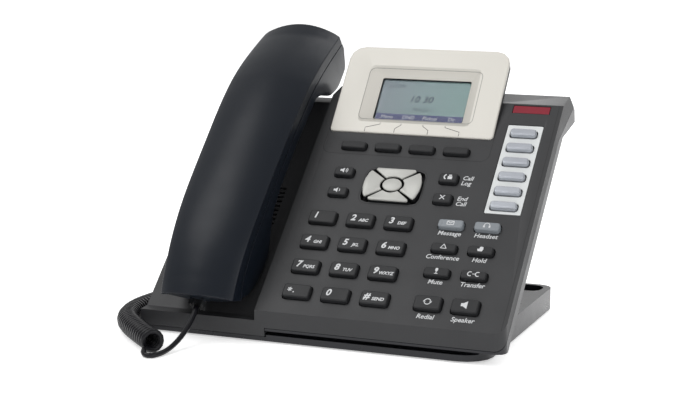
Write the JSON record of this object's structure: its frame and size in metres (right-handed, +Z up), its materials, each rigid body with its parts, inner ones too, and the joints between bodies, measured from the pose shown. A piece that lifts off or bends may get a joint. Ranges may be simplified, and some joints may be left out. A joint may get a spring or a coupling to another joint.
{
  "type": "desk IP phone",
  "caption": "Desk IP phone on a tray stand, with a sloped key panel, a raised display and a handset on a coiled cord.",
  "frame": {"origin": "centre of the base on the desk, measured without the cord", "axes": "+Z up, -Y towards the user, +X to the user's right"},
  "size_m": [0.2148, 0.1907, 0.155],
  "materials": {
    "charcoal_plastic": "fine matte",
    "graphite_plastic": "fine matte",
    "handset_plastic": "satin",
    "keycap_plastic": "satin",
    "light_key_plastic": "translucent",
    "silver_plastic": "satin paint",
    "black_plastic": "matte",
    "keypad_silicone": "matte",
    "board_laminate": "lacquered",
    "clear_plastic": "clear",
    "label_card": "card",
    "lcd_glass": "polarised",
    "lamp_red": "translucent",
    "speaker_steel": "plated",
    "cord_jacket": "smooth"
  },
  "bodies": {
    "base": {"base_plug": "clear_plastic", "bottom_cover": "graphite_plastic", "cord_coil": "cord_jacket", "cord_lead": "cord_jacket", "cord_tail": "cord_jacket", "display_bezel": "silver_plastic", "display_lens": "clear_plastic", "keypad_mat": "keypad_silicone", "lcd_module": "lcd_glass", "line_label_card": "label_card", "loudspeaker": "speaker_steel", "main_board": "board_laminate", "message_lamp": "lamp_red", "stand": "graphite_plastic", "top_cover": "charcoal_plastic"},
    "handset": {"handset_upper_shell": "handset_plastic", "handset_lower_shell": "handset_plastic", "handset_receiver": "black_plastic", "handset_microphone": "speaker_steel", "handset_plug": "clear_plastic"},
    "hook": {"hook_switch": "black_plastic"},
    "body_call_log_key": {"call_log_key": "keycap_plastic"},
    "body_conference_key": {"conference_key": "keycap_plastic"},
    "body_dial_key_0": {"dial_key_0": "keycap_plastic"},
    "body_dial_key_1": {"dial_key_1": "keycap_plastic"},
    "body_dial_key_2": {"dial_key_2": "keycap_plastic"},
    "body_dial_key_3": {"dial_key_3": "keycap_plastic"},
    "body_dial_key_4": {"dial_key_4": "keycap_plastic"},
    "body_dial_key_5": {"dial_key_5": "keycap_plastic"},
    "body_dial_key_6": {"dial_key_6": "keycap_plastic"},
    "body_dial_key_7": {"dial_key_7": "keycap_plastic"},
    "body_dial_key_8": {"dial_key_8": "keycap_plastic"},
    "body_dial_key_9": {"dial_key_9": "keycap_plastic"},
    "body_dial_key_hash": {"dial_key_hash": "keycap_plastic"},
    "body_dial_key_star": {"dial_key_star": "keycap_plastic"},
    "body_end_call_key": {"end_call_key": "keycap_plastic"},
    "body_headset_key": {"headset_key": "light_key_plastic"},
    "body_hold_key": {"hold_key": "keycap_plastic"},
    "body_line_key_1": {"line_key_1": "light_key_plastic"},
    "body_line_key_2": {"line_key_2": "light_key_plastic"},
    "body_line_key_3": {"line_key_3": "light_key_plastic"},
    "body_line_key_4": {"line_key_4": "light_key_plastic"},
    "body_line_key_5": {"line_key_5": "light_key_plastic"},
    "body_line_key_6": {"line_key_6": "light_key_plastic"},
    "body_message_key": {"message_key": "light_key_plastic"},
    "body_mute_key": {"mute_key": "keycap_plastic"},
    "body_nav_down_key": {"nav_down_key": "silver_plastic"},
    "body_nav_left_key": {"nav_left_key": "silver_plastic"},
    "body_nav_ok_key": {"nav_ok_key": "silver_plastic"},
    "body_nav_right_key": {"nav_right_key": "silver_plastic"},
    "body_nav_up_key": {"nav_up_key": "silver_plastic"},
    "body_redial_key": {"redial_key": "keycap_plastic"},
    "body_soft_key_1": {"soft_key_1": "keycap_plastic"},
    "body_soft_key_2": {"soft_key_2": "keycap_plastic"},
    "body_soft_key_3": {"soft_key_3": "keycap_plastic"},
    "body_soft_key_4": {"soft_key_4": "keycap_plastic"},
    "body_speaker_key": {"speaker_key": "keycap_plastic"},
    "body_transfer_key": {"transfer_key": "keycap_plastic"},
    "body_volume_down_key": {"volume_down_key": "keycap_plastic"},
    "body_volume_up_key": {"volume_up_key": "keycap_plastic"}
  },
  "joints": [
    {"name": "call_log_key_press", "type": "slide", "parent": "base", "child": "body_call_log_key", "axis": [0, 0.6845, -0.729], "range_m": [0, 0.0012], "stiffness_N_per_m": 800, "springref_m": -0.0005},
    {"name": "conference_key_press", "type": "slide", "parent": "base", "child": "body_conference_key", "axis": [0, 0.6845, -0.729], "range_m": [0, 0.0012], "stiffness_N_per_m": 800, "springref_m": -0.0005},
    {"name": "dial_key_0_press", "type": "slide", "parent": "base", "child": "body_dial_key_0", "axis": [0, 0.6845, -0.729], "range_m": [0, 0.0012], "stiffness_N_per_m": 800, "springref_m": -0.0005},
    {"name": "dial_key_1_press", "type": "slide", "parent": "base", "child": "body_dial_key_1", "axis": [0, 0.6845, -0.729], "range_m": [0, 0.0012], "stiffness_N_per_m": 800, "springref_m": -0.0005},
    {"name": "dial_key_2_press", "type": "slide", "parent": "base", "child": "body_dial_key_2", "axis": [0, 0.6845, -0.729], "range_m": [0, 0.0012], "stiffness_N_per_m": 800, "springref_m": -0.0005},
    {"name": "dial_key_3_press", "type": "slide", "parent": "base", "child": "body_dial_key_3", "axis": [0, 0.6845, -0.729], "range_m": [0, 0.0012], "stiffness_N_per_m": 800, "springref_m": -0.0005},
    {"name": "dial_key_4_press", "type": "slide", "parent": "base", "child": "body_dial_key_4", "axis": [0, 0.6845, -0.729], "range_m": [0, 0.0012], "stiffness_N_per_m": 800, "springref_m": -0.0005},
    {"name": "dial_key_5_press", "type": "slide", "parent": "base", "child": "body_dial_key_5", "axis": [0, 0.6845, -0.729], "range_m": [0, 0.0012], "stiffness_N_per_m": 800, "springref_m": -0.0005},
    {"name": "dial_key_6_press", "type": "slide", "parent": "base", "child": "body_dial_key_6", "axis": [0, 0.6845, -0.729], "range_m": [0, 0.0012], "stiffness_N_per_m": 800, "springref_m": -0.0005},
    {"name": "dial_key_7_press", "type": "slide", "parent": "base", "child": "body_dial_key_7", "axis": [0, 0.6845, -0.729], "range_m": [0, 0.0012], "stiffness_N_per_m": 800, "springref_m": -0.0005},
    {"name": "dial_key_8_press", "type": "slide", "parent": "base", "child": "body_dial_key_8", "axis": [0, 0.6845, -0.729], "range_m": [0, 0.0012], "stiffness_N_per_m": 800, "springref_m": -0.0005},
    {"name": "dial_key_9_press", "type": "slide", "parent": "base", "child": "body_dial_key_9", "axis": [0, 0.6845, -0.729], "range_m": [0, 0.0012], "stiffness_N_per_m": 800, "springref_m": -0.0005},
    {"name": "dial_key_hash_press", "type": "slide", "parent": "base", "child": "body_dial_key_hash", "axis": [0, 0.6845, -0.729], "range_m": [0, 0.0012], "stiffness_N_per_m": 800, "springref_m": -0.0005},
    {"name": "dial_key_star_press", "type": "slide", "parent": "base", "child": "body_dial_key_star", "axis": [0, 0.6845, -0.729], "range_m": [0, 0.0012], "stiffness_N_per_m": 800, "springref_m": -0.0005},
    {"name": "end_call_key_press", "type": "slide", "parent": "base", "child": "body_end_call_key", "axis": [0, 0.6845, -0.729], "range_m": [0, 0.0012], "stiffness_N_per_m": 800, "springref_m": -0.0005},
    {"name": "headset_key_press", "type": "slide", "parent": "base", "child": "body_headset_key", "axis": [0, 0.6845, -0.729], "range_m": [0, 0.0012], "stiffness_N_per_m": 800, "springref_m": -0.0005},
    {"name": "hold_key_press", "type": "slide", "parent": "base", "child": "body_hold_key", "axis": [0, 0.6845, -0.729], "range_m": [0, 0.0012], "stiffness_N_per_m": 800, "springref_m": -0.0005},
    {"name": "line_key_1_press", "type": "slide", "parent": "base", "child": "body_line_key_1", "axis": [0, 0.6845, -0.729], "range_m": [0, 0.0012], "stiffness_N_per_m": 800, "springref_m": -0.0005},
    {"name": "line_key_2_press", "type": "slide", "parent": "base", "child": "body_line_key_2", "axis": [0, 0.6845, -0.729], "range_m": [0, 0.0012], "stiffness_N_per_m": 800, "springref_m": -0.0005},
    {"name": "line_key_3_press", "type": "slide", "parent": "base", "child": "body_line_key_3", "axis": [0, 0.6845, -0.729], "range_m": [0, 0.0012], "stiffness_N_per_m": 800, "springref_m": -0.0005},
    {"name": "line_key_4_press", "type": "slide", "parent": "base", "child": "body_line_key_4", "axis": [0, 0.6845, -0.729], "range_m": [0, 0.0012], "stiffness_N_per_m": 800, "springref_m": -0.0005},
    {"name": "line_key_5_press", "type": "slide", "parent": "base", "child": "body_line_key_5", "axis": [0, 0.6845, -0.729], "range_m": [0, 0.0012], "stiffness_N_per_m": 800, "springref_m": -0.0005},
    {"name": "line_key_6_press", "type": "slide", "parent": "base", "child": "body_line_key_6", "axis": [0, 0.6845, -0.729], "range_m": [0, 0.0012], "stiffness_N_per_m": 800, "springref_m": -0.0005},
    {"name": "message_key_press", "type": "slide", "parent": "base", "child": "body_message_key", "axis": [0, 0.6845, -0.729], "range_m": [0, 0.0012], "stiffness_N_per_m": 800, "springref_m": -0.0005},
    {"name": "mute_key_press", "type": "slide", "parent": "base", "child": "body_mute_key", "axis": [0, 0.6845, -0.729], "range_m": [0, 0.0012], "stiffness_N_per_m": 800, "springref_m": -0.0005},
    {"name": "nav_down_key_press", "type": "slide", "parent": "base", "child": "body_nav_down_key", "axis": [0, 0.6845, -0.729], "range_m": [0, 0.0012], "stiffness_N_per_m": 800, "springref_m": -0.0005},
    {"name": "nav_left_key_press", "type": "slide", "parent": "base", "child": "body_nav_left_key", "axis": [0, 0.6845, -0.729], "range_m": [0, 0.0012], "stiffness_N_per_m": 800, "springref_m": -0.0005},
    {"name": "nav_ok_key_press", "type": "slide", "parent": "base", "child": "body_nav_ok_key", "axis": [0, 0.6845, -0.729], "range_m": [0, 0.0012], "stiffness_N_per_m": 800, "springref_m": -0.0005},
    {"name": "nav_right_key_press", "type": "slide", "parent": "base", "child": "body_nav_right_key", "axis": [0, 0.6845, -0.729], "range_m": [0, 0.0012], "stiffness_N_per_m": 800, "springref_m": -0.0005},
    {"name": "nav_up_key_press", "type": "slide", "parent": "base", "child": "body_nav_up_key", "axis": [0, 0.6845, -0.729], "range_m": [0, 0.0012], "stiffness_N_per_m": 800, "springref_m": -0.0005},
    {"name": "redial_key_press", "type": "slide", "parent": "base", "child": "body_redial_key", "axis": [0, 0.6845, -0.729], "range_m": [0, 0.0012], "stiffness_N_per_m": 800, "springref_m": -0.0005},
    {"name": "soft_key_1_press", "type": "slide", "parent": "base", "child": "body_soft_key_1", "axis": [0, 0.6845, -0.729], "range_m": [0, 0.0012], "stiffness_N_per_m": 800, "springref_m": -0.0005},
    {"name": "soft_key_2_press", "type": "slide", "parent": "base", "child": "body_soft_key_2", "axis": [0, 0.6845, -0.729], "range_m": [0, 0.0012], "stiffness_N_per_m": 800, "springref_m": -0.0005},
    {"name": "soft_key_3_press", "type": "slide", "parent": "base", "child": "body_soft_key_3", "axis": [0, 0.6845, -0.729], "range_m": [0, 0.0012], "stiffness_N_per_m": 800, "springref_m": -0.0005},
    {"name": "soft_key_4_press", "type": "slide", "parent": "base", "child": "body_soft_key_4", "axis": [0, 0.6845, -0.729], "range_m": [0, 0.0012], "stiffness_N_per_m": 800, "springref_m": -0.0005},
    {"name": "speaker_key_press", "type": "slide", "parent": "base", "child": "body_speaker_key", "axis": [0, 0.6845, -0.729], "range_m": [0, 0.0012], "stiffness_N_per_m": 800, "springref_m": -0.0005},
    {"name": "transfer_key_press", "type": "slide", "parent": "base", "child": "body_transfer_key", "axis": [0, 0.6845, -0.729], "range_m": [0, 0.0012], "stiffness_N_per_m": 800, "springref_m": -0.0005},
    {"name": "volume_down_key_press", "type": "slide", "parent": "base", "child": "body_volume_down_key", "axis": [0, 0.6845, -0.729], "range_m": [0, 0.0012], "stiffness_N_per_m": 800, "springref_m": -0.0005},
    {"name": "volume_up_key_press", "type": "slide", "parent": "base", "child": "body_volume_up_key", "axis": [0, 0.6845, -0.729], "range_m": [0, 0.0012], "stiffness_N_per_m": 800, "springref_m": -0.0005},
    {"name": "handset_lift", "type": "slide", "parent": "base", "child": "handset", "axis": [0, -0.6845, 0.729], "range_m": [0, 0.06]},
    {"name": "hook_rise", "type": "slide", "parent": "base", "child": "hook", "axis": [0, -0.6845, 0.729], "range_m": [0, 0.0036]}
  ],
  "couplings": [
    {"joint": "hook_rise", "follows": "handset_lift", "ratio": 0.058}
  ]
}
